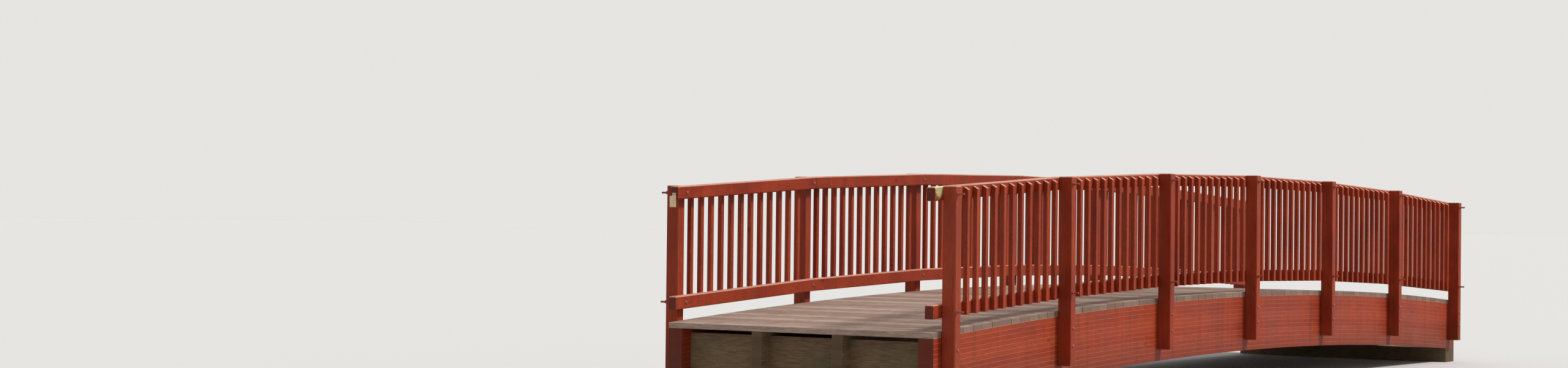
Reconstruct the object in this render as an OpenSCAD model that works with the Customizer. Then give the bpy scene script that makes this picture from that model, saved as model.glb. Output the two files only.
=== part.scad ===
// Timber footbridge on cambered laminated girders, with a plank deck and a baluster railing on each side.
// X runs along the bridge, Y across it and Z up. The origin is on the ground, at the middle of the bridge.

/* [Span] */
// Distance between post centres along the bridge
bay_l = 1829; // [1500:1:2100]
// Rise of the deck's curve from the end posts to the middle
camber = 190; // [80:1:320]
// Length of deck and girders past the end posts' centres
end_over = 155; // [120:1:300]
// Width of the deck, which is the distance between the inner faces of the two rows of posts
deck_w = 2438; // [1800:1:3000]

/* [Girders] */
// Thickness of an outer girder
girder_w = 130; // [100:1:180]
// Depth of every girder, square to the curve
girder_d = 495; // [400:1:600]
// Thickness of an inner girder
inner_girder_w = 90; // [60:1:130]
// Distance of an inner girder's centre from the middle of the deck
inner_girder_y = 370; // [250:1:450]

/* [Blocking] */
// Thickness of a block between two girders, along the bridge
block_t = 64; // [38:1:90]
// Height of a block
block_d = 300; // [200:1:320]
// Distance from the girders' top down to a block
block_drop = 45; // [0:1:70]

/* [Sills] */
// Width of a bearing sill, along the bridge
sill_w = 250; // [180:1:320]
// Height of a bearing sill
sill_h = 150; // [80:1:250]

/* [Deck] */
// Thickness of a deck plank
plank_t = 44; // [30:1:60]
// Width of a deck plank
plank_w = 140; // [90:1:200]
// Smallest gap between two planks
plank_gap = 7; // [3:1:15]

/* [Posts] */
// Size of a post along the bridge
post_l = 81; // [60:1:120]
// Size of a post across the bridge
post_w = 118; // [80:1:150]
// Height of a post's foot above the girder's lower edge
post_foot = 100; // [30:1:200]

/* [Rails] */
// Height of the top rail's upper face above the deck
rail_top = 1067; // [900:1:1200]
// Height of the lower rail's underside above the deck
rail_low = 98; // [60:1:150]
// Height of a rail's section
rail_h = 97; // [70:1:120]
// Thickness of a rail, across the bridge
rail_w = 74; // [50:1:95]
// Gap between two lengths of rail where they meet on a post
rail_joint = 3; // [1:0.5:6]
// Length of the top rail past the end posts' centres
top_rail_over = 148; // [80:1:200]
// Length of the lower rail past the end posts' centres
low_rail_over = 160; // [80:1:200]

/* [Balusters] */
// Side of a square baluster
baluster_s = 38; // [30:1:50]
// Clear gap between two balusters
baluster_gap = 101.6; // [80:0.1:110]
// Smallest gap between a baluster and a post
baluster_end_gap = 60; // [40:1:90]
// Distance from the top rail's upper face down to a baluster's top
baluster_drop = 8; // [3:1:40]
// Fall of the bevel on a baluster's top
baluster_bevel = 22; // [10:1:50]

/* [Hidden] */

red_paint = [0.60, 0.21, 0.11];
deck_brown = [0.66, 0.57, 0.50];
raw_timber = [0.51, 0.42, 0.31];

bays = 6;
left = 1;
right = -1;

// The deck's upper face is an arc of deck_r about the point below mid-span at height arc_z
half_l = bays * bay_l / 2;
end_x = half_l + end_over;
deck_r = (half_l * half_l + camber * camber) / (2 * camber);
girder_top_r = deck_r - plank_t;
girder_low_r = girder_top_r - girder_d;
seat_x = end_x - sill_w;
arc_z = sill_h - sqrt(girder_low_r * girder_low_r - seat_x * seat_x);

girder_steps = 50;

// Planks share the arc evenly, with no gap under plank_gap
end_angle = asin(end_x / deck_r);
arc_l = 2 * PI * deck_r * 2 * end_angle / 360;
plank_n = floor((arc_l + plank_gap) / (plank_w + plank_gap));
plank_pitch = (arc_l - plank_w) / (plank_n - 1);

// A bay takes as many balusters as fit between its posts, and the row stands in the bay's middle
baluster_pitch = baluster_s + baluster_gap;
baluster_row = bay_l - post_l - 2 * baluster_end_gap;
baluster_n = floor((baluster_row + baluster_gap) / baluster_pitch);

function arc_height(r, x) = arc_z + sqrt(r * r - x * x);
function deck_height(x) = arc_height(deck_r, x);
function post_x(i) = -half_l + (i - 1) * bay_l;
function bay_of(x) = min(bays, max(1, floor((x + half_l) / bay_l) + 1));

// Height of the straight line over bay k that the rails follow, at deck level
function bay_line(k, x) =
    deck_height(post_x(k)) + (deck_height(post_x(k + 1)) - deck_height(post_x(k))) * (x - post_x(k)) / bay_l;

// Extrudes a side profile, drawn in X and Z, across the bridge from y0 to y0 + w
module across(y0, w) {
    translate([0, y0 + w, 0]) rotate([90, 0, 0]) linear_extrude(w) children();
}

// Side profile of a girder: two arcs, plumb ends and a level seat over each sill
module girder_profile() {
    xs = [for (s = [0 : girder_steps]) -end_x + 2 * end_x * s / girder_steps];
    low_xs = [for (s = [0 : girder_steps]) seat_x - 2 * seat_x * s / girder_steps];
    polygon(concat(
        [for (x = xs) [x, arc_height(girder_top_r, x)]],
        [[end_x, sill_h]],
        [for (x = low_xs) [x, arc_height(girder_low_r, x)]],
        [[-end_x, sill_h]]
    ));
}

module outer_girder(side) {
    color(red_paint)
        across(side == left ? deck_w / 2 - girder_w : -deck_w / 2, girder_w) girder_profile();
}

module inner_girder(side) {
    color(raw_timber)
        across(side * inner_girder_y - inner_girder_w / 2, inner_girder_w) girder_profile();
}

// Blocks stand under each pair of posts, one in each space between the girders
module blocking() {
    outer_face = deck_w / 2 - girder_w;
    inner_faces = [inner_girder_y - inner_girder_w / 2, inner_girder_y + inner_girder_w / 2];
    spaces = [
        [-outer_face, -inner_faces[1]],
        [-inner_faces[0], inner_faces[0]],
        [inner_faces[1], outer_face]
    ];
    color(raw_timber)
        for (i = [1 : bays + 1], s = spaces)
            translate([
                post_x(i) - block_t / 2,
                s[0],
                arc_height(girder_top_r, post_x(i)) - block_drop - block_d
            ])
                cube([block_t, s[1] - s[0], block_d]);
}

module sill(end) {
    color(raw_timber)
        translate([end > 0 ? seat_x : -end_x, -deck_w / 2, 0]) cube([sill_w, deck_w, sill_h]);
}

// Planks lie square to the curve, each one touching the girders along its middle
module deck_bay(k) {
    color(deck_brown)
        for (j = [0 : plank_n - 1]) {
            angle = -end_angle + (plank_w / 2 + j * plank_pitch) / arc_l * 2 * end_angle;
            if (bay_of(deck_r * sin(angle)) == k)
                translate([0, 0, arc_z]) rotate([0, angle, 0])
                    translate([-plank_w / 2, -deck_w / 2, girder_top_r]) cube([plank_w, deck_w, plank_t]);
        }
}

// A post is bolted to the girder's outer face and ends level with the top rail
module post(side, i) {
    foot = arc_height(girder_low_r, post_x(i)) + post_foot;
    head = deck_height(post_x(i)) + rail_top;
    color(red_paint)
        translate([post_x(i) - post_l / 2, side == left ? deck_w / 2 : -deck_w / 2 - post_w, foot])
            cube([post_l, post_w, head - foot]);
}

// Straight lengths of rail on the posts' inner faces, with plumb ends; low is the underside above the deck
module rail(side, low, over) {
    color(red_paint)
        across(side == left ? deck_w / 2 - rail_w : -deck_w / 2, rail_w)
            for (k = [1 : bays]) {
                x0 = k == 1 ? post_x(1) - over : post_x(k) + rail_joint / 2;
                x1 = k == bays ? post_x(bays + 1) + over : post_x(k + 1) - rail_joint / 2;
                z0 = bay_line(k, x0) + low;
                z1 = bay_line(k, x1) + low;
                polygon([[x0, z0], [x1, z1], [x1, z1 + rail_h], [x0, z0 + rail_h]]);
            }
}

module top_rail(side) {
    rail(side, rail_top - rail_h, top_rail_over);
}

module lower_rail(side) {
    rail(side, rail_low, low_rail_over);
}

// End profile of a baluster in Y and Z, its inner face at y = 0 and its bevel falling outward
module baluster(h) {
    rotate([90, 0, 90]) linear_extrude(baluster_s)
        polygon([[0, 0], [baluster_s, 0], [baluster_s, h - baluster_bevel], [0, h]]);
}

// Balusters stand on the rails' outer faces, evenly spaced between two posts
module balusters(side, k) {
    h = rail_top - baluster_drop - rail_low;
    color(red_paint)
        for (j = [1 : baluster_n]) {
            x = post_x(k) + bay_l / 2 + (j - (baluster_n + 1) / 2) * baluster_pitch;
            translate([x, side * deck_w / 2, bay_line(k, x) + rail_low])
                mirror([0, side == left ? 0 : 1, 0]) translate([-baluster_s / 2, 0, 0]) baluster(h);
        }
}

outer_girder(left);  // girder_left
outer_girder(right);  // girder_right
inner_girder(left);  // girder_inner_left
inner_girder(right);  // girder_inner_right
blocking();
sill(-1);  // sill_near
sill(1);  // sill_far
deck_bay(1);  // deck_bay_1
deck_bay(2);  // deck_bay_2
deck_bay(3);  // deck_bay_3
deck_bay(4);  // deck_bay_4
deck_bay(5);  // deck_bay_5
deck_bay(6);  // deck_bay_6
post(left, 1);  // post_left_1
post(left, 2);  // post_left_2
post(left, 3);  // post_left_3
post(left, 4);  // post_left_4
post(left, 5);  // post_left_5
post(left, 6);  // post_left_6
post(left, 7);  // post_left_7
post(right, 1);  // post_right_1
post(right, 2);  // post_right_2
post(right, 3);  // post_right_3
post(right, 4);  // post_right_4
post(right, 5);  // post_right_5
post(right, 6);  // post_right_6
post(right, 7);  // post_right_7
top_rail(left);  // top_rail_left
top_rail(right);  // top_rail_right
lower_rail(left);  // lower_rail_left
lower_rail(right);  // lower_rail_right
balusters(left, 1);  // balusters_left_1
balusters(left, 2);  // balusters_left_2
balusters(left, 3);  // balusters_left_3
balusters(left, 4);  // balusters_left_4
balusters(left, 5);  // balusters_left_5
balusters(left, 6);  // balusters_left_6
balusters(right, 1);  // balusters_right_1
balusters(right, 2);  // balusters_right_2
balusters(right, 3);  // balusters_right_3
balusters(right, 4);  // balusters_right_4
balusters(right, 5);  // balusters_right_5
balusters(right, 6);  // balusters_right_6
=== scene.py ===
"""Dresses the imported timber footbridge: weathered timbers, glued girders, bolts, screws and a tag."""

import math
import random

import bmesh
import bpy
from mathutils import Matrix, Vector


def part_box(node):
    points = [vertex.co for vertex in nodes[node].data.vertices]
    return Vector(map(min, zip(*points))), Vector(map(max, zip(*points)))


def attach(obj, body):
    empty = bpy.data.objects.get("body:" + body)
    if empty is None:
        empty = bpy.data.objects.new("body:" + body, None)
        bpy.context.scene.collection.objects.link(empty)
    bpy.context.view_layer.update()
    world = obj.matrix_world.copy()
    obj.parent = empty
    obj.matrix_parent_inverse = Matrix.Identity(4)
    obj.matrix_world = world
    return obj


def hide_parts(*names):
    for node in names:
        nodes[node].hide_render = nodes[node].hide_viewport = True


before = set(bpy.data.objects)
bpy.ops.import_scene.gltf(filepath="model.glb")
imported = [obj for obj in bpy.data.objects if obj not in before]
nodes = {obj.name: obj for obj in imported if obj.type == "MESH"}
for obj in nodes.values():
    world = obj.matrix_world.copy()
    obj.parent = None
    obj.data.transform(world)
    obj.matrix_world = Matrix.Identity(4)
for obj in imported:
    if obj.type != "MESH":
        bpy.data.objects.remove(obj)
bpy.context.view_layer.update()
random.seed(7)

# Sizes are in metres, and MM is a millimetre
MM = 0.001

BAYS = 6
POSTS = BAYS + 1
SIDES = {"left": 1, "right": -1}

# Corners closer than WELD are one; a plane through corners at x takes in those within SAME_PLANE
WELD = 0.05 * MM
SAME_PLANE = 2 * MM

# How far two faces may turn, in radians, and be one flat face, and the least turn at an edge that is eased
FLAT_ANGLE = 0.0004
SHARP_ANGLE = math.radians(30)

# Least share of a direction along an axis, and of a normal straight up, to count as lying so
ALONG_AXIS = 0.9
FACES_UP = 0.7

# Eased arrises of each kind of timber, and the saw-cut ends of all of them
POST_EASE = 7 * MM
TOP_RAIL_EASE = 10 * MM
LOWER_RAIL_EASE = 8 * MM
RAIL_END_EASE = 8 * MM
BALUSTER_EASE = 3 * MM
PLANK_EASE = 4 * MM
BLOCK_EASE = 2 * MM
SILL_EASE = 6 * MM
CUT_EASE = 1 * MM
EASE_STEPS = 3

# How much higher the tops of rails and posts stand in the photograph than in the solids
TOP_LIFT = 8 * MM

# How far the planks and balusters stray from their marks, and how much too short a plank's end is cut
PLANK_STRAY = 1.2 * MM
PLANK_SHORT = 3 * MM
BALUSTER_STRAY = 1.5 * MM

# Bolts: one through each rail and post, a little nearer than the post's centre, and two through each
# post and girder, at these depths below the girder's top
BOLT_AHEAD = 25 * MM
GIRDER_BOLT_DROPS = (95 * MM, 235 * MM)
HEAD_R = 15.5 * MM
HEAD_H = 9 * MM
WASHER_R = 15 * MM
WASHER_T = 3 * MM
NUT_R = 13.8 * MM
NUT_H = 14 * MM
ROD_R = 8 * MM
ROD_OUT = 59 * MM

# Forms of the hardware: a domed head's rings as shares of its height and radius, a disc's bevelled rim
# as a share of its radius, and the number of sides
DOME_RINGS = ((0.0, 1.0), (0.35, 0.94), (0.75, 0.7), (1.0, 0.3))
DOME_SIDES = 20
RIM_SHARE = 0.07
WASHER_SIDES = 24
NUT_SIDES = 6
ROD_SIDES = 12

# Girder laminations, a fixed number of equal boards with a groove at each glue line
LAMINATIONS = 13
GLUE_GROOVE = 0.8 * MM
GIRDER_STEPS = 60
CORNERS_PER_BOARD = 3

# Deck screws: two in each plank over each girder, their heads half a millimetre proud of the wood
SCREW_R = 4.5 * MM
SCREW_H = 1.5 * MM
SCREW_SUNK = 1 * MM
SCREW_SIDES = 10
SCREW_EDGE = 32 * MM
SCREW_STRAY = 7 * MM

# The small blank tag that hangs on the near end of the left top rail, and its screw
TAG_W = 61 * MM
TAG_H = 88 * MM
TAG_T = 2.5 * MM
TAG_DROP = 69 * MM
TAG_NECK_W = 33 * MM
TAG_NECK_H = 24 * MM
TAG_NECK_SHIFT = 12 * MM
TAG_INWARD = 22 * MM
TAG_CORNER = 5 * MM
TAG_CORNER_STEPS = 4
TAG_SCREW_R = 5 * MM
TAG_SCREW_H = 2.5 * MM

# Camera fitted to the posts, rails and deck: focal length in pixels of the 2560-pixel frame, sensor in
# millimetres, and its place back from the first posts, right of the bridge's middle and above the deck
FRAME_W = 2560
FOCAL_PX = 4073.2
SENSOR_W = 36.0
CAMERA_BACK = 16.008
CAMERA_SIDE = 10.653
CAMERA_UP = 0.829
YAW_DEG = 34.22
PITCH_DEG = 0.767
ROLL_DEG = 0.639
CLIP_END = 1000.0

# Stage and lights: colours of floor and backdrop as seen, and of the floor for the light it throws back
FLOOR_R = 400.0
FLOOR_SIDES = 96
FLOOR_LIT = (0.42, 0.41, 0.40)
FLOOR_SEEN = (0.74, 0.73, 0.71)
BACKDROP = (0.79, 0.78, 0.76)
SKY_STRENGTH = 0.48
SUN_STRENGTH = 2.5
SUN_SPREAD = math.radians(10)
SUN_FROM = (0.30, -0.72, 0.80)


def node_box(name):
    """A node's lowest and highest corners."""
    low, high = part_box(name)
    return Vector(low), Vector(high)


def heights_at(name, x):
    """Lowest and highest vertex of a node in the plane at x."""
    zs = [v.co.z for v in nodes[name].data.vertices if abs(v.co.x - x) < SAME_PLANE]
    return min(zs), max(zs)


def arc_through(top, x, z):
    """Radius and centre height of the arc with its top at (0, top) that passes through (x, z)."""
    rise = top - z
    radius = (x * x + rise * rise) / (2 * rise)
    return radius, top - radius


def arc_z(arc, x):
    """Height of an arc at x."""
    radius, centre = arc
    return centre + math.sqrt(radius * radius - x * x)


def post_x(i):
    """Place of post i along the bridge, counted from 1 at the near end."""
    return FIRST_POST_X + (i - 1) * BAY_L


# Sizes read from the frame
post_low, post_high = node_box("post_left_1")
FIRST_POST_X = (post_low.x + post_high.x) / 2
BAY_L = -2 * FIRST_POST_X / BAYS
DECK_HALF = post_low.y
POST_OUTER = post_high.y
rail_corner = node_box("top_rail_left")[0]
RAIL_INNER = rail_corner.y
RAIL_END_X = rail_corner.x
girder_low, girder_high = node_box("girder_left")
GIRDER_END_X = girder_high.x
GIRDER_INNER = girder_low.y
SILL_TOP = node_box("sill_far")[1].z
middle_low, middle_high = heights_at("girder_left", 0)
GIRDER_DEPTH = middle_high - middle_low
GIRDER_TOP = arc_through(middle_high, GIRDER_END_X, heights_at("girder_left", GIRDER_END_X)[1])
PLANK_T = node_box("deck_bay_4")[1].z - middle_high
DECK = (GIRDER_TOP[0] + PLANK_T, GIRDER_TOP[1])

# Where the paint is gone from the right top rail's near end: around a spot over its outer arris, with a
# ragged brink, farther on the upper face, and with faded paint beyond
BARE_SPOT_IN = 58 * MM
BARE_SPOT_OVER = 4 * MM
BARE_SPOT = (
    RAIL_END_X + BARE_SPOT_IN, -DECK_HALF, heights_at("top_rail_right", RAIL_END_X)[1] + BARE_SPOT_OVER
)
BARE_REACH = 96 * MM
BARE_RAGGED = 70 * MM
BARE_MORE_ON_TOP = 45 * MM
BARE_BRINK = 10 * MM
BARE_FADED = 55 * MM


# Materials

class Shader:
    """A small helper that adds nodes to a material and links them."""

    # Sockets of the Mix node that carry colours
    MIX_A = 6
    MIX_B = 7
    MIX_RESULT = 2

    def __init__(self, name, roughness, metallic=0.0, specular=0.5):
        self.material = bpy.data.materials.new(name)
        self.material.use_nodes = True
        self.tree = self.material.node_tree
        self.shader = self.tree.nodes["Principled BSDF"]
        self.shader.inputs["Roughness"].default_value = roughness
        self.shader.inputs["Metallic"].default_value = metallic
        self.shader.inputs["Specular IOR Level"].default_value = specular

    def add(self, kind, **values):
        node = self.tree.nodes.new(kind)
        for key, value in values.items():
            setattr(node, key, value)
        return node

    def feed(self, socket, value):
        """Puts a colour or a number on a socket, or links another socket to it."""
        if isinstance(value, tuple):
            socket.default_value = (*value, 1.0)
        elif isinstance(value, (int, float)):
            socket.default_value = value
        else:
            self.tree.links.new(value, socket)

    def math(self, operation, *values):
        node = self.add("ShaderNodeMath", operation=operation)
        for socket, value in zip(node.inputs, values):
            self.feed(socket, value)
        return node.outputs[0]

    def times(self, a, b):
        return self.math("MULTIPLY", a, b)

    def plus(self, a, b):
        return self.math("ADD", a, b)

    def minus(self, a, b):
        return self.math("SUBTRACT", a, b)

    def mix(self, factor, a, b):
        node = self.add("ShaderNodeMix", data_type="RGBA")
        self.feed(node.inputs[0], factor)
        self.feed(node.inputs[self.MIX_A], a)
        self.feed(node.inputs[self.MIX_B], b)
        return node.outputs[self.MIX_RESULT]

    def layer(self, color, over, mask, strength):
        """The color with another laid over it at a strength, where the mask is 1."""
        return self.mix(self.times(mask, strength), color, over)

    def ramp(self, value, low, high, low_shade=0.0, high_shade=1.0):
        """Maps low..high to low_shade..high_shade, held level beyond both."""
        node = self.add("ShaderNodeMapRange", clamp=True)
        node.inputs["From Min"].default_value = low
        node.inputs["From Max"].default_value = high
        node.inputs["To Min"].default_value = low_shade
        node.inputs["To Max"].default_value = high_shade
        self.feed(node.inputs["Value"], value)
        return node.outputs[0]

    def noise(self, vector, scale, detail=4.0, roughness=0.55, distortion=0.0):
        node = self.add("ShaderNodeTexNoise", noise_dimensions="3D")
        node.inputs["Scale"].default_value = scale
        node.inputs["Detail"].default_value = detail
        node.inputs["Roughness"].default_value = roughness
        node.inputs["Distortion"].default_value = distortion
        self.feed(node.inputs["Vector"], vector)
        return node.outputs["Fac"]

    def stretched(self, vector, axis, share):
        """The vector drawn out along one axis, so that a texture is 1 / share times longer there."""
        node = self.add("ShaderNodeMapping")
        node.inputs["Scale"].default_value = [share if name == axis else 1.0 for name in "XYZ"]
        self.feed(node.inputs["Vector"], vector)
        return node.outputs[0]

    def place(self):
        """Position in the piece, which is also its position in the bridge."""
        return self.add("ShaderNodeTexCoord").outputs["Object"]

    def along(self, vector, axis):
        """The part of a vector along one axis."""
        split = self.add("ShaderNodeSeparateXYZ")
        self.feed(split.inputs[0], vector)
        return split.outputs[axis]

    def normal(self, kind):
        return self.add("ShaderNodeNewGeometry").outputs[kind]

    def finish(self, color, rough, height, strength, distance):
        """Links the colour, the roughness and a bump from a height, and hands over the material."""
        self.feed(self.shader.inputs["Base Color"], color)
        self.feed(self.shader.inputs["Roughness"], rough)
        bump = self.add("ShaderNodeBump")
        bump.inputs["Strength"].default_value = strength
        bump.inputs["Distance"].default_value = distance
        self.feed(bump.inputs["Height"], height)
        self.feed(self.shader.inputs["Normal"], bump.outputs[0])
        return self.material


def paint(red, green, blue):
    """Linear colour from screen values of 0 to 255."""
    def channel(value):
        value /= 255
        return value / 12.92 if value <= 0.04045 else ((value + 0.055) / 1.055) ** 2.4
    return channel(red), channel(green), channel(blue)


# Red paint, from its deepest to its palest, and what darkens it or shows through it
RED_DEEP = paint(140, 43, 18)
RED_BRIGHT = paint(168, 62, 30)
RED_PALE = paint(184, 82, 48)
# Palest red: sun-faded paint with a painted highlight, laid on top faces and eased arrises
RED_FADED_AND_HIGHLIT = paint(212, 154, 132)
RED_GRAIN = paint(94, 28, 12)
RED_RUN = paint(92, 36, 20)
RED_CUT = paint(72, 30, 22)
RED_KNOT = paint(84, 26, 16)
RED_SOILED = paint(92, 50, 34)
RED_CHECK = paint(58, 24, 17)
CHIPPED_WOOD = paint(184, 146, 118)

# The worn rail end: faded paint around it, and bare wood with algae and dry, paler on its upper faces,
# partly sun-bleached and partly a painted highlight
FADED_PAINT = paint(142, 92, 64)
ALGAE_WOOD = paint(152, 136, 84)
DRY_WOOD = paint(206, 188, 136)
SUNNED_AND_HIGHLIT_WOOD = paint(222, 204, 170)

# Unpainted timber: darkest and lightest pieces, fibre, paler grain and damp blotches
DECK_TONES = {
    "dark": paint(150, 124, 108),
    "light": paint(196, 171, 155),
    "fibre": paint(112, 88, 74),
    "pale": paint(212, 192, 176),
    "damp": paint(134, 100, 86),
}
BARE_TONES = {
    "dark": paint(118, 96, 72),
    "light": paint(146, 120, 90),
    "fibre": paint(80, 62, 45),
    "pale": paint(168, 146, 116),
    "damp": paint(84, 82, 60),
}
BARE_CHECK = paint(46, 36, 30)

# Hardware: painted steel and what its chips show, zinc and rust, and the tag's coating and stains
STEEL_RED_DEEP = paint(136, 46, 28)
STEEL_RED_BRIGHT = paint(166, 66, 44)
CHIPPED_STEEL = paint(150, 116, 100)
ZINC = paint(122, 116, 110)
RUST = paint(88, 60, 46)
TAG_CREAM = paint(244, 214, 174)
TAG_STAIN = paint(206, 168, 130)

# How far a timber's seed of 1 moves its texture along each axis
SEED_SPREAD = (13.0, 20.0, 27.0)

# The upward part of the normal where the sun-faded paint and painted highlight on top faces start, and
# where they are full
TOP_FADE_AND_HIGHLIGHT_FROM = 0.08
TOP_FADE_AND_HIGHLIGHT_FULL = 0.45

# Radius that worn edges are found with, and how near the two normals are where wear starts and is full
WORN_R = 6 * MM
WORN_FROM = 0.98
WORN_FULL = 0.86

# The part of the normal along the grain that tells a saw-cut end from a side
CUT_FROM = 0.85
CUT_FULL = 0.95

# Heights between which splashed soil on the red timber fades out
SOIL_TOP = 0.5
SOIL_FULL = 0.15

# Share of full edge wear on the railing and on the girders
RAILING_WEAR = 0.85
GIRDER_WEAR = 0.2

# Knots: how many to a metre of the texture, and how much of that along the grain
KNOT_SCALE = 4.5
KNOT_STRETCH = 0.45

# Relief in the timbers' bump: how proud painted fibres and knots stand, and how deep wear and checks are
FIBRE_RELIEF = 0.6
KNOT_RELIEF = 0.4
WEAR_DEPTH = 0.5
BARE_CHECK_DEPTH = 1.4


def timber_place(s):
    """Position in the bridge, the same moved apart for each timber by its seed, and the seed."""
    place = s.place()
    seed = s.add("ShaderNodeAttribute", attribute_name="timber_seed").outputs["Fac"]
    offset = s.add("ShaderNodeCombineXYZ")
    for socket, spread in zip(offset.inputs, SEED_SPREAD):
        s.feed(socket, s.times(seed, spread))
    moved = s.add("ShaderNodeVectorMath", operation="ADD")
    s.feed(moved.inputs[0], place)
    s.feed(moved.inputs[1], offset.outputs[0])
    return place, moved.outputs[0], seed


def up_facing(s):
    """1 on faces that look up and on their eased arrises, 0 on the sides and below."""
    return s.ramp(s.along(s.normal("Normal"), "Z"), TOP_FADE_AND_HIGHLIGHT_FROM, TOP_FADE_AND_HIGHLIGHT_FULL)


def worn_edge(s):
    """1 on proud edges, from the difference between the rounded and the true normal."""
    bevel = s.add("ShaderNodeBevel", samples=4)
    bevel.inputs["Radius"].default_value = WORN_R
    dot = s.add("ShaderNodeVectorMath", operation="DOT_PRODUCT")
    s.feed(dot.inputs[0], bevel.outputs[0])
    s.feed(dot.inputs[1], s.normal("Normal"))
    return s.ramp(dot.outputs["Value"], WORN_FROM, WORN_FULL)


def cut_end(s, axis):
    """1 on saw-cut ends, square to the grain."""
    return s.ramp(s.math("ABSOLUTE", s.along(s.normal("True Normal"), axis)), CUT_FROM, CUT_FULL)


def knots(s, place, axis):
    """1 in the hearts of sparse knots, drawn out along the grain."""
    node = s.add("ShaderNodeTexVoronoi")
    node.inputs["Scale"].default_value = KNOT_SCALE
    s.feed(node.inputs["Vector"], s.stretched(place, axis, KNOT_STRETCH))
    return s.ramp(node.outputs["Distance"], low=0.075, high=0.045)


def weathered_red(s, place, seed, tone, fibres):
    """Red paint in deeper and brighter patches, paler on some timbers, with dark grain and runs."""
    color = s.mix(s.ramp(tone, low=0.35, high=0.68), RED_DEEP, RED_BRIGHT)
    color = s.layer(color, RED_PALE, seed, strength=0.35)
    color = s.mix(s.ramp(fibres, low=0.3, high=0.55, low_shade=0.5, high_shade=0.0), color, RED_GRAIN)
    down = s.stretched(place, "Z", share=0.06)
    runs = s.noise(down, scale=17.0, detail=2.0, roughness=0.5, distortion=0.3)
    return s.mix(s.ramp(runs, low=0.5, high=0.8, high_shade=0.45), color, RED_RUN)


def soil(s, place, tone):
    """Soil splashed on the lowest part of the bridge, in patches."""
    height = s.along(place, "Z")
    patches = s.ramp(tone, low=0.3, high=0.6, low_shade=0.2, high_shade=0.8)
    return s.times(s.ramp(height, SOIL_TOP, SOIL_FULL), patches)


def worn_rail_end(s, place, axis, color, tops):
    """The color with the paint gone around BARE_SPOT, except on the cut end, and faded farther out."""
    apart = s.add("ShaderNodeVectorMath", operation="DISTANCE")
    s.feed(apart.inputs[0], place)
    apart.inputs[1].default_value = BARE_SPOT
    ragged = s.noise(s.stretched(place, axis, share=0.25), scale=90.0, detail=5.0, roughness=0.7)
    apart = s.plus(apart.outputs["Value"], s.times(ragged, BARE_RAGGED))
    apart = s.minus(apart, s.times(tops, BARE_MORE_ON_TOP))
    uncut = s.minus(1.0, cut_end(s, axis))
    faded = s.ramp(apart, BARE_REACH + BARE_FADED, BARE_REACH, high_shade=0.7)
    color = s.mix(s.times(faded, uncut), color, FADED_PAINT)
    grain = s.noise(s.stretched(place, axis, share=0.08), scale=160.0, roughness=0.6)
    wood = s.mix(s.ramp(grain, low=0.35, high=0.65), ALGAE_WOOD, DRY_WOOD)
    # Upper faces of the bare wood paler: partly sun-bleached, partly a painted highlight
    wood = s.mix(tops, wood, SUNNED_AND_HIGHLIT_WOOD)
    bare = s.ramp(apart, BARE_REACH + BARE_BRINK, BARE_REACH)
    return s.mix(s.times(bare, uncut), color, wood)


def red_timber(name, axis, wear_share, worn_end=False):
    """Red painted timber: sun-faded with a painted highlight on top, chipped on its edges, dark in knots,
    checks and cut ends.
    """
    s = Shader(name, roughness=0.5, specular=0.22)
    place, moved, seed = timber_place(s)
    along = s.stretched(moved, axis, share=0.05)
    tone = s.noise(place, scale=2.4, detail=3.0)
    fibres = s.noise(along, scale=230.0, detail=3.0, roughness=0.65)
    heart = knots(s, moved, axis)
    tops = up_facing(s)
    cracks = s.noise(along, scale=62.0, detail=5.0, roughness=0.75, distortion=1.6)
    checks = s.ramp(cracks, low=0.665, high=0.70)
    chips = s.ramp(s.noise(place, scale=42.0, roughness=0.7), low=0.5, high=0.6)
    wear = s.times(s.times(worn_edge(s), chips), wear_share)
    fade_and_highlight_noise = s.noise(along, scale=26.0, roughness=0.6, distortion=0.4)
    fade_and_highlight = s.ramp(fade_and_highlight_noise, low=0.3, high=0.55, low_shade=0.5, high_shade=0.95)

    color = weathered_red(s, place, seed, tone, fibres)
    color = s.layer(color, RED_CUT, cut_end(s, axis), strength=0.7)
    color = s.layer(color, RED_KNOT, heart, strength=0.55)
    color = s.mix(soil(s, place, tone), color, RED_SOILED)
    # Top faces and arrises paler in patches: partly sun-faded paint, partly a painted highlight
    color = s.mix(s.times(fade_and_highlight, tops), color, RED_FADED_AND_HIGHLIT)
    color = s.layer(color, RED_CHECK, checks, strength=0.8)
    color = s.mix(wear, color, CHIPPED_WOOD)
    if worn_end:
        color = worn_rail_end(s, place, axis, color, tops)

    rough = s.ramp(tone, low=0.3, high=0.7, low_shade=0.46, high_shade=0.66)
    proud = s.plus(s.times(fibres, FIBRE_RELIEF), s.times(heart, KNOT_RELIEF))
    sunk = s.plus(checks, s.times(wear, WEAR_DEPTH))
    return s.finish(color, rough, s.minus(proud, sunk), strength=0.5, distance=1.3 * MM)


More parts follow.
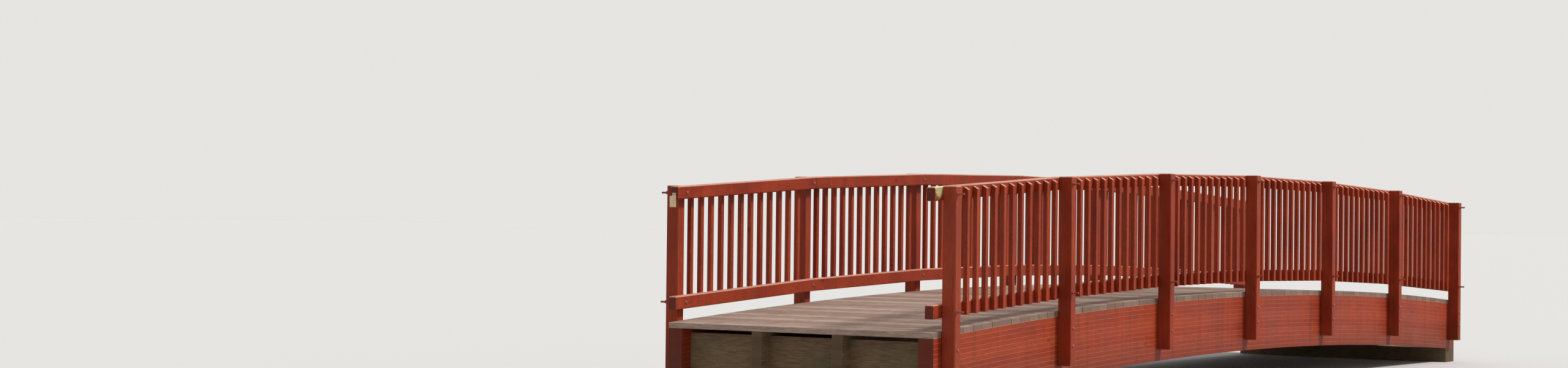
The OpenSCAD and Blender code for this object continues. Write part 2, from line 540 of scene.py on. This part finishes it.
def bare_timber(name, axis, dark, light, fibre, pale, damp):
    """Unpainted weathered timber: each its own tone, with grain, checks, knots and damp blotches."""
    s = Shader(name, roughness=0.8, specular=0.25)
    place, moved, seed = timber_place(s)
    along = s.stretched(moved, axis, share=0.06)
    fibres = s.noise(along, scale=140.0, detail=5.0, roughness=0.7, distortion=0.6)
    blotches = s.noise(place, scale=3.1, roughness=0.6)
    cracks = s.noise(along, scale=58.0, detail=5.0, roughness=0.75, distortion=1.4)
    checks = s.ramp(cracks, low=0.66, high=0.69)

    color = s.mix(seed, dark, light)
    color = s.mix(s.ramp(fibres, low=0.32, high=0.56, low_shade=0.75, high_shade=0.0), color, fibre)
    color = s.mix(s.ramp(fibres, low=0.56, high=0.75, high_shade=0.6), color, pale)
    color = s.mix(s.ramp(blotches, low=0.5, high=0.74, high_shade=0.55), color, damp)
    color = s.layer(color, fibre, cut_end(s, axis), strength=0.65)
    color = s.layer(color, fibre, knots(s, moved, axis), strength=0.6)
    color = s.layer(color, BARE_CHECK, checks, strength=0.85)
    color = s.layer(color, pale, worn_edge(s), strength=0.35)

    rough = s.ramp(fibres, low=0.3, high=0.7, low_shade=0.9, high_shade=0.72)
    height = s.minus(fibres, s.times(checks, BARE_CHECK_DEPTH))
    return s.finish(color, rough, height, strength=0.6, distance=1.6 * MM)


def painted_steel():
    """Bolt hardware painted over with the timber: red, chipped to brown steel."""
    s = Shader("painted_steel", roughness=0.5)
    place = s.place()
    tone = s.ramp(s.noise(place, scale=30.0, detail=3.0), low=0.35, high=0.65)
    chips = s.ramp(s.noise(place, scale=120.0, roughness=0.7), low=0.54, high=0.62, high_shade=0.8)
    color = s.mix(chips, s.mix(tone, STEEL_RED_DEEP, STEEL_RED_BRIGHT), CHIPPED_STEEL)
    rough = s.ramp(chips, low=0.0, high=1.0, low_shade=0.42, high_shade=0.75)
    height = s.minus(s.noise(place, scale=420.0, detail=2.0), chips)
    return s.finish(color, rough, height, strength=0.4, distance=0.5 * MM)


def bolt_steel():
    """Dull galvanized steel, browned in patches."""
    s = Shader("bolt_steel", roughness=0.5, metallic=0.7)
    place = s.place()
    rusted = s.ramp(s.noise(place, scale=90.0, roughness=0.7), low=0.42, high=0.62)
    rough = s.ramp(rusted, low=0.0, high=1.0, low_shade=0.42, high_shade=0.8)
    height = s.noise(place, scale=420.0, detail=2.0)
    return s.finish(s.mix(rusted, ZINC, RUST), rough, height, strength=0.3, distance=0.5 * MM)


def tag_coating():
    """Cream coated tag with faint stains that run down it."""
    s = Shader("tag_coating", roughness=0.4)
    place = s.place()
    runs = s.noise(s.stretched(place, "Z", share=0.3), scale=60.0, roughness=0.6)
    stain = s.ramp(runs, low=0.45, high=0.72, high_shade=0.6)
    rough = s.ramp(stain, low=0.0, high=0.6, low_shade=0.35, high_shade=0.6)
    height = s.noise(place, scale=300.0, detail=2.0)
    return s.finish(s.mix(stain, TAG_CREAM, TAG_STAIN), rough, height, strength=0.15, distance=0.4 * MM)


RED_RAIL = red_timber("red_rail", "X", RAILING_WEAR, worn_end=True)
RED_UPRIGHT = red_timber("red_upright", "Z", RAILING_WEAR)
RED_GIRDER = red_timber("red_girder", "X", GIRDER_WEAR)
DECK_WOOD = bare_timber("deck_timber", "Y", **DECK_TONES)
BARE_LENGTHWISE = bare_timber("bare_timber_x", "X", **BARE_TONES)
BARE_CROSSWISE = bare_timber("bare_timber_y", "Y", **BARE_TONES)
PAINTED_STEEL = painted_steel()
STEEL = bolt_steel()
TAG = tag_coating()


# Meshes

def row_and_reach(group):
    """A timber's lowest X in whole millimetres, and how far its lowest Y is from the middle line."""
    corners = [v.co for face in group for v in face.verts]
    return round(min(co.x for co in corners) / MM), abs(min(co.y for co in corners))


def separate_timbers(bm):
    """Lists of faces that hang together, in order along the bridge, and in a row from its middle."""
    left = set(bm.faces)
    groups = []
    for first in list(bm.faces):
        if first not in left:
            continue
        left.remove(first)
        group = [first]
        for face in group:
            for edge in face.edges:
                for other in edge.link_faces:
                    if other in left:
                        left.remove(other)
                        group.append(other)
        groups.append(group)
    return sorted(groups, key=row_and_reach)


def seed_layer(bm):
    """The layer that holds each timber's value for the materials."""
    return bm.faces.layers.float.get("timber_seed") or bm.faces.layers.float.new("timber_seed")


def seed_timbers(bm):
    """Gives each separate timber its own value, for the materials' grain and tone."""
    layer = seed_layer(bm)
    for group in separate_timbers(bm):
        value = random.random()
        for face in group:
            face[layer] = value


def make_piece(name, bm, material, slot, *replaced):
    """Turns a bmesh into a piece that rides on the bridge."""
    mesh = bpy.data.meshes.new(name)
    bm.normal_update()
    bm.to_mesh(mesh)
    bm.free()
    piece = bpy.data.objects.new(name, mesh)
    bpy.context.scene.collection.objects.link(piece)
    mesh.materials.append(material)
    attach(piece, "root")
    if replaced:
        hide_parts(*replaced)


def ease(bm, edges, width, steps):
    """Bevels the edges in one or more steps, and shades the narrow faces of a rounded edge smooth."""
    made = bmesh.ops.bevel(
        bm, geom=edges, offset=width, segments=steps, profile=0.5, affect="EDGES", clamp_overlap=True
    )
    for face in made["faces"]:
        narrow = min(edge.calc_length() for edge in face.edges) < width
        face.smooth = steps > 1 and narrow


def sharp_edges(bm, axis, lengthwise):
    """Sharp edges that run along the timbers' axis, or those round their cut ends."""
    found = []
    for edge in bm.edges:
        if len(edge.link_faces) != 2 or edge.calc_face_angle() < SHARP_ANGLE:
            continue
        line = (edge.verts[1].co - edge.verts[0].co).normalized()
        if (abs(line["XYZ".index(axis)]) > ALONG_AXIS) == lengthwise:
            found.append(edge)
    return found


def raise_tops(bm, rise):
    """Moves every upper face up."""
    bm.normal_update()
    for vert in {v for face in bm.faces if face.normal.z > FACES_UP for v in face.verts}:
        vert.co.z += rise


def welded(node):
    """The node's own solids, with the corners that their faces share welded."""
    bm = bmesh.new()
    bm.from_mesh(nodes[node].data)
    bmesh.ops.remove_doubles(bm, verts=bm.verts, dist=WELD)
    return bm


def node_mesh(node, rise=0.0):
    """The node's own solids with each flat side as one face, and their tops raised."""
    bm = welded(node)
    bmesh.ops.dissolve_limit(bm, angle_limit=FLAT_ANGLE, verts=bm.verts, edges=bm.edges)
    raise_tops(bm, rise)
    return bm


def ease_arrises(bm, axis, width):
    """Rounds the edges along the timbers."""
    ease(bm, sharp_edges(bm, axis, True), width, EASE_STEPS)


def ease_cuts(bm, axis):
    """Takes the sharpness off the saw-cut ends."""
    ease(bm, sharp_edges(bm, axis, False), CUT_EASE, 1)


def stray(bm, reach, short, axis):
    """Moves each timber a little along the bridge, and draws both its ends in a little along an axis."""
    k = "XYZ".index(axis)
    for group in separate_timbers(bm):
        verts = list({v for f in group for v in f.verts})
        middle = sum((v.co for v in verts), Vector()) / len(verts)
        shift = random.uniform(-reach, reach)
        draw = {side: random.uniform(0, short) for side in (-1, 1)}
        for v in verts:
            v.co.x += shift
            side = 1 if v.co[k] > middle[k] else -1
            v.co[k] -= side * draw[side]


def head_edges(bm):
    """The edges round the highest face."""
    top = max(v.co.z for v in bm.verts)
    return [e for e in bm.edges if all(v.co.z > top - WELD for v in e.verts)]


def end_top_edges(bm):
    """The upper edges of the two end faces of a rail, with their rounded corners."""
    picked = []
    xs = [v.co.x for v in bm.verts]
    for end in (min(xs), max(xs)):
        ring = {v for v in bm.verts if abs(v.co.x - end) < WELD}
        brink = max(v.co.z for v in ring) - TOP_RAIL_EASE - WELD
        picked += [e for e in bm.edges if all(v in ring and v.co.z > brink for v in e.verts)]
    return picked


def dress_post(node):
    """A post with its arrises and its head rounded together."""
    bm = node_mesh(node, TOP_LIFT)
    ease(bm, sharp_edges(bm, "Z", True) + head_edges(bm), POST_EASE, EASE_STEPS)
    ease_cuts(bm, "Z")
    seed_timbers(bm)
    make_piece(node + "_dressed", bm, RED_UPRIGHT, "red_timber", node)


def dress_rail(node, width):
    """A rail with rounded arrises, and the tops of its two free ends rounded too."""
    bm = node_mesh(node, TOP_LIFT)
    ease_arrises(bm, "X", width)
    ease(bm, end_top_edges(bm), RAIL_END_EASE, EASE_STEPS)
    ease_cuts(bm, "X")
    seed_timbers(bm)
    make_piece(node + "_dressed", bm, RED_RAIL, "red_timber", node)


def dress_member(node, axis, width, material, slot, reach=0.0, short=0.0):
    """Any other timbers with eased edges, strayed from their marks where a reach is given."""
    bm = node_mesh(node)
    ease_arrises(bm, axis, width)
    ease_cuts(bm, axis)
    if reach:
        stray(bm, reach, short, axis)
    seed_timbers(bm)
    make_piece(node + "_dressed", bm, material, slot, node)


def girder_profile():
    """Depth below the girder's top and inset of each corner down one face, the last at its foot."""
    board = GIRDER_DEPTH / LAMINATIONS
    profile = []
    for k in range(LAMINATIONS):
        profile.append((k * board, GLUE_GROOVE))
        profile.append((k * board + GLUE_GROOVE, 0.0))
        profile.append(((k + 1) * board - GLUE_GROOVE, 0.0))
    profile.append((GIRDER_DEPTH, GLUE_GROOVE))
    return profile


def girder_rings(bm, outline):
    """The outline's corners at each step along the girder's arc, none lower than the sills' tops."""
    radius, centre = GIRDER_TOP
    rings = []
    for step in range(GIRDER_STEPS + 1):
        x = -GIRDER_END_X + 2 * GIRDER_END_X * step / GIRDER_STEPS
        ring = []
        for depth, y in outline:
            z = arc_z((radius - depth, centre), x)
            ring.append(bm.verts.new((x, y, max(z, SILL_TOP))))
        rings.append(ring)
    return rings


def skin_girder(bm, rings, layer, tones):
    """Faces between the rings and over both ends, each with its own board's tone."""
    count = len(rings[0])
    corners = count // 2

    def tone_of(k):
        return tones[min(k // CORNERS_PER_BOARD, LAMINATIONS - 1)]

    for a, b in zip(rings, rings[1:]):
        for k in range(count):
            face = bm.faces.new((a[k], b[k], b[(k + 1) % count], a[(k + 1) % count]))
            face[layer] = tone_of(k if k < corners else count - 2 - k)
    for ring in (rings[0], rings[-1]):
        for k in range(corners - 1):
            face = bm.faces.new((ring[k], ring[k + 1], ring[count - 2 - k], ring[count - 1 - k]))
            face[layer] = tone_of(k)


def laminated_girder(node, material, slot):
    """A girder as its glued boards: curved, grooved at the glue lines, and level over the sills."""
    low, high = node_box(node)
    profile = girder_profile()
    outline = [(depth, low.y + inset) for depth, inset in profile]
    outline += [(depth, high.y - inset) for depth, inset in reversed(profile)]
    bm = bmesh.new()
    layer = seed_layer(bm)
    rings = girder_rings(bm, outline)
    skin_girder(bm, rings, layer, [random.random() for _ in range(LAMINATIONS)])
    bmesh.ops.remove_doubles(bm, verts=bm.verts, dist=WELD)
    bmesh.ops.recalc_face_normals(bm, faces=bm.faces)
    make_piece(node + "_laminated", bm, material, slot, node)


def add_stack(bm, centre, axis, levels, sides):
    """A turned or faceted solid: a ring at each (distance along axis, radius), closed at both ends."""
    axis = Vector(axis).normalized()
    across = axis.orthogonal().normalized()
    other = axis.cross(across)
    rings = []
    for rise, radius in levels:
        ring = []
        for k in range(sides):
            turn = 2 * math.pi * k / sides
            arm = across * math.cos(turn) + other * math.sin(turn)
            ring.append(bm.verts.new(Vector(centre) + axis * rise + arm * radius))
        rings.append(ring)
    for a, b in zip(rings, rings[1:]):
        for k in range(sides):
            bm.faces.new((a[k], a[(k + 1) % sides], b[(k + 1) % sides], b[k]))
    bm.faces.new(rings[-1])
    bm.faces.new(list(reversed(rings[0])))


def add_dome(bm, centre, axis, radius, height):
    """A domed head."""
    levels = [(rise * height, share * radius) for rise, share in DOME_RINGS]
    add_stack(bm, centre, axis, levels, DOME_SIDES)


def add_disc(bm, centre, axis, radius, height, sides):
    """A disc or prism with a bevelled outer rim."""
    rim = RIM_SHARE * radius
    levels = [(0.0, radius), (height - rim, radius), (height, radius - rim)]
    add_stack(bm, centre, axis, levels, sides)


def add_nut(bm, centre, axis):
    """A washer, a hexagonal nut and the end of the rod."""
    centre = Vector(centre)
    axis = Vector(axis)
    nut_foot = centre + axis * WASHER_T
    rod_foot = nut_foot + axis * NUT_H
    add_disc(bm, centre, axis, WASHER_R, WASHER_T, WASHER_SIDES)
    add_disc(bm, nut_foot, axis, NUT_R, NUT_H, NUT_SIDES)
    add_disc(bm, rod_foot, axis, ROD_R, ROD_OUT - WASHER_T - NUT_H, ROD_SIDES)


def bolt_rises(name):
    """Heights above the deck of the middles of the top and lower rail on one side."""
    rail_low, rail_high = heights_at("top_rail_left", RAIL_END_X)
    half_rail = (rail_high - rail_low) / 2
    tops = [node_box(rail + name)[1].z for rail in ("top_rail_", "lower_rail_")]
    return [top - half_rail - arc_z(DECK, 0) for top in tops]


def bolts(name, side):
    """At every post a bolt through each rail, nut outside, and two through the girder, nut inside."""
    outward = (0, side, 0)
    inward = (0, -side, 0)
    rises = bolt_rises(name)
    bm = bmesh.new()
    for i in range(1, POSTS + 1):
        x = post_x(i) - BOLT_AHEAD
        for rise in rises:
            z = arc_z(DECK, x) + rise
            add_dome(bm, (x, side * RAIL_INNER, z), inward, HEAD_R, HEAD_H)
            add_nut(bm, (x, side * POST_OUTER, z), outward)
        x = post_x(i)
        for drop in GIRDER_BOLT_DROPS:
            z = arc_z(GIRDER_TOP, x) - drop
            add_dome(bm, (x, side * POST_OUTER, z), outward, HEAD_R, HEAD_H)
            add_nut(bm, (x, side * GIRDER_INNER, z), inward)
    seed_timbers(bm)
    make_piece("bolts_" + name, bm, PAINTED_STEEL, "painted_steel")


def plank_centres():
    """The planks' middles along the bridge."""
    centres = []
    for k in range(1, BAYS + 1):
        bm = welded(f"deck_bay_{k}")
        for group in separate_timbers(bm):
            xs = [v.co.x for f in group for v in f.verts]
            centres.append((min(xs) + max(xs)) / 2)
        bm.free()
    return centres


def deck_screws():
    """Two screws in each plank over each girder, square to the deck's arc."""
    inner_low, inner_high = node_box("girder_inner_left")
    inner = (inner_low.y + inner_high.y) / 2
    outer = (GIRDER_INNER + DECK_HALF) / 2
    radius, centre = DECK
    bm = bmesh.new()
    for x in plank_centres():
        lean = math.asin(x / radius)
        along = Vector((math.cos(lean), 0, -math.sin(lean)))
        up = Vector((math.sin(lean), 0, math.cos(lean)))
        for y in (-outer, -inner, inner, outer):
            for side in (-1, 1):
                spot = Vector((0, 0, centre)) + up * (radius - SCREW_SUNK)
                spot += along * (side * SCREW_EDGE + random.uniform(-SCREW_STRAY, SCREW_STRAY) / 2)
                spot.y = y + random.uniform(-SCREW_STRAY, SCREW_STRAY)
                add_disc(bm, spot, up, SCREW_R, SCREW_H, SCREW_SIDES)
    seed_timbers(bm)
    make_piece("deck_screws", bm, STEEL, "bolt_steel")


def tag_outline(middle, neck, top):
    """Corners of the tag in Y and Z: a plate below its top, and a narrower neck above it."""
    left = middle - TAG_W / 2
    right = middle + TAG_W / 2
    neck_left = neck - TAG_NECK_W / 2
    neck_right = neck + TAG_NECK_W / 2
    neck_top = top + TAG_NECK_H
    foot = top - TAG_H
    return [
        (left, top), (neck_left, top), (neck_left, neck_top), (neck_right, neck_top),
        (neck_right, top), (right, top), (right, foot), (left, foot),
    ]


def blank_tag():
    """The bare cream tag on the near end of the left top rail, hung by a screw through its neck."""
    top = heights_at("top_rail_left", RAIL_END_X)[1] - TAG_DROP
    middle = DECK_HALF - TAG_INWARD
    neck = middle - TAG_NECK_SHIFT
    bm = bmesh.new()
    face = bm.faces.new([bm.verts.new((RAIL_END_X, y, z)) for y, z in tag_outline(middle, neck, top)])
    made = bmesh.ops.extrude_face_region(bm, geom=[face])
    front = [v for v in made["geom"] if isinstance(v, bmesh.types.BMVert)]
    bmesh.ops.translate(bm, verts=front, vec=(-TAG_T, 0, 0))
    bmesh.ops.recalc_face_normals(bm, faces=bm.faces)
    corners = [e for e in bm.edges if abs(e.verts[0].co.x - e.verts[1].co.x) > TAG_T / 2]
    ease(bm, corners, TAG_CORNER, TAG_CORNER_STEPS)
    seed_timbers(bm)
    make_piece("blank_tag", bm, TAG, "tag_coating")
    bm = bmesh.new()
    add_dome(bm, (RAIL_END_X - TAG_T, neck, top + TAG_NECK_H / 2), (-1, 0, 0), TAG_SCREW_R, TAG_SCREW_H)
    seed_timbers(bm)
    make_piece("tag_screw", bm, STEEL, "bolt_steel")


def dress_side(name):
    """One side of the bridge: its two girders and its railing."""
    laminated_girder("girder_" + name, RED_GIRDER, "red_timber")
    laminated_girder("girder_inner_" + name, BARE_LENGTHWISE, "bare_timber")
    for i in range(1, POSTS + 1):
        dress_post(f"post_{name}_{i}")
    dress_rail("top_rail_" + name, TOP_RAIL_EASE)
    dress_rail("lower_rail_" + name, LOWER_RAIL_EASE)
    for k in range(1, BAYS + 1):
        node = f"balusters_{name}_{k}"
        dress_member(node, "Z", BALUSTER_EASE, RED_UPRIGHT, "red_timber", BALUSTER_STRAY)


def dress_middle():
    """The deck, and the blocking and sills below it."""
    for k in range(1, BAYS + 1):
        node = f"deck_bay_{k}"
        dress_member(node, "Y", PLANK_EASE, DECK_WOOD, "deck_planks", PLANK_STRAY, PLANK_SHORT)
    for node, width in (("blocking", BLOCK_EASE), ("sill_near", SILL_EASE), ("sill_far", SILL_EASE)):
        dress_member(node, "Y", width, BARE_CROSSWISE, "bare_timber")


def build():
    """Both sides, the middle, and then all the hardware."""
    for name in SIDES:
        dress_side(name)
    dress_middle()
    for name, side in SIDES.items():
        bolts(name, side)
    deck_screws()
    blank_tag()


# Stage, light and camera

def seen_ray(tree):
    """1 for rays that reach the camera straight, by a reflection or through glass; 0 for others."""
    path = tree.nodes.new("ShaderNodeLightPath")
    seen = path.outputs["Is Camera Ray"]
    for other in ("Is Glossy Ray", "Is Transmission Ray"):
        either = tree.nodes.new("ShaderNodeMath")
        either.operation = "MAXIMUM"
        tree.links.new(seen, either.inputs[0])
        tree.links.new(path.outputs[other], either.inputs[1])
        seen = either.outputs[0]
    return seen


def stage():
    """A plain pale floor, darker to the light that it throws back on the bridge."""
    bm = bmesh.new()
    bmesh.ops.create_circle(bm, cap_ends=True, segments=FLOOR_SIDES, radius=FLOOR_R)
    mesh = bpy.data.meshes.new("floor")
    bm.to_mesh(mesh)
    bm.free()
    floor = bpy.data.objects.new("floor", mesh)
    bpy.context.scene.collection.objects.link(floor)
    s = Shader("floor", roughness=0.9)
    s.feed(s.shader.inputs["Base Color"], s.mix(seen_ray(s.tree), FLOOR_LIT, FLOOR_SEEN))
    mesh.materials.append(s.material)


def studio():
    """White light from all around, and a pale backdrop where the camera sees it."""
    world = bpy.data.worlds.new("studio")
    bpy.context.scene.world = world
    world.use_nodes = True
    tree = world.node_tree
    light = tree.nodes["Background"]
    light.inputs["Color"].default_value = (1.0, 1.0, 1.0, 1.0)
    light.inputs["Strength"].default_value = SKY_STRENGTH
    backdrop = tree.nodes.new("ShaderNodeBackground")
    backdrop.inputs["Color"].default_value = (*BACKDROP, 1.0)
    mix = tree.nodes.new("ShaderNodeMixShader")
    tree.links.new(seen_ray(tree), mix.inputs[0])
    tree.links.new(light.outputs[0], mix.inputs[1])
    tree.links.new(backdrop.outputs[0], mix.inputs[2])
    tree.links.new(mix.outputs[0], tree.nodes["World Output"].inputs[0])


def key_light():
    """A soft-edged sun, high over the right side and a little towards the far end."""
    sun = bpy.data.lights.new("key", "SUN")
    sun.energy = SUN_STRENGTH
    sun.angle = SUN_SPREAD
    lamp = bpy.data.objects.new("key", sun)
    lamp.rotation_euler = Vector(SUN_FROM).to_track_quat("Z", "Y").to_euler()
    bpy.context.scene.collection.objects.link(lamp)


def camera():
    """The photograph's camera: yaw from +X, then pitch and roll."""
    data = bpy.data.cameras.new("photo")
    data.sensor_fit = "HORIZONTAL"
    data.sensor_width = SENSOR_W
    data.lens = SENSOR_W * FOCAL_PX / FRAME_W
    data.clip_end = CLIP_END
    holder = bpy.data.objects.new("photo", data)
    eye_z = arc_z(DECK, FIRST_POST_X) + CAMERA_UP
    holder.location = (FIRST_POST_X - CAMERA_BACK, -CAMERA_SIDE, eye_z)
    turn = Matrix.Rotation(math.radians(YAW_DEG - 90), 4, "Z")
    turn @= Matrix.Rotation(math.radians(90 + PITCH_DEG), 4, "X")
    turn @= Matrix.Rotation(math.radians(ROLL_DEG), 4, "Z")
    holder.rotation_euler = turn.to_euler()
    bpy.context.scene.collection.objects.link(holder)
    bpy.context.scene.camera = holder


camera()
build()
stage()
studio()
key_light()
bpy.context.scene.view_settings.view_transform = "Standard"
